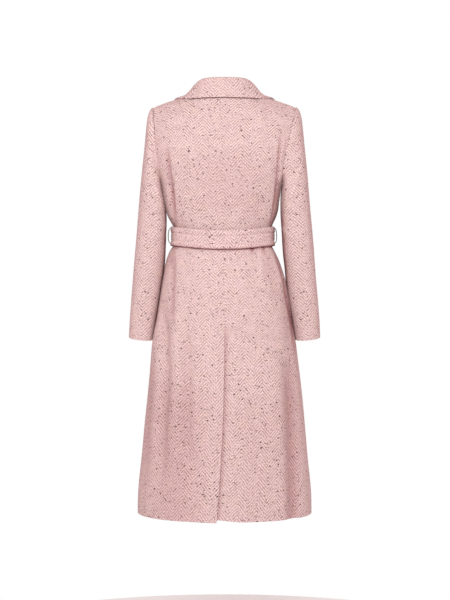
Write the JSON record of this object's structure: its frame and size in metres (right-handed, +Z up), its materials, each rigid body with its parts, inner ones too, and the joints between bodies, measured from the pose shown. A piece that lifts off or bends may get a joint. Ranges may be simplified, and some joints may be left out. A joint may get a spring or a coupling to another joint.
{
  "type": "belted wool wrap coat",
  "caption": "Long flared wrap coat in pink herringbone wool, filled out as worn, with a wide notched collar, set-in sleeves, tied belt and back vent.",
  "frame": {"origin": "middle of the neck at the height where the shoulder seams meet the collar, where the wearer's shoulders carry the coat", "axes": "+Z up, the coat's front faces -Y and its back +Y, the wearer's left side is +X"},
  "size_m": [0.5166, 0.3351, 1.1533],
  "materials": {
    "wool": "light pink and mauve herringbone tweed with dark flecks, soft nap",
    "belt_wool": "the same herringbone tweed, folded double",
    "thread": "thin pale twisted thread"
  },
  "bodies": {
    "root": {"back_left": "wool", "back_right": "wool", "front_left": "wool", "front_right": "wool", "sleeve_left_upper": "wool", "sleeve_left_under": "wool", "sleeve_right_upper": "wool", "sleeve_right_under": "wool", "collar": "wool", "lapel_left": "wool", "lapel_right": "wool", "belt": "belt_wool", "belt_knot": "belt_wool", "belt_end_left": "belt_wool", "belt_end_right": "belt_wool", "belt_loop_left": "thread", "belt_loop_right": "thread"}
  },
  "joints": []
}
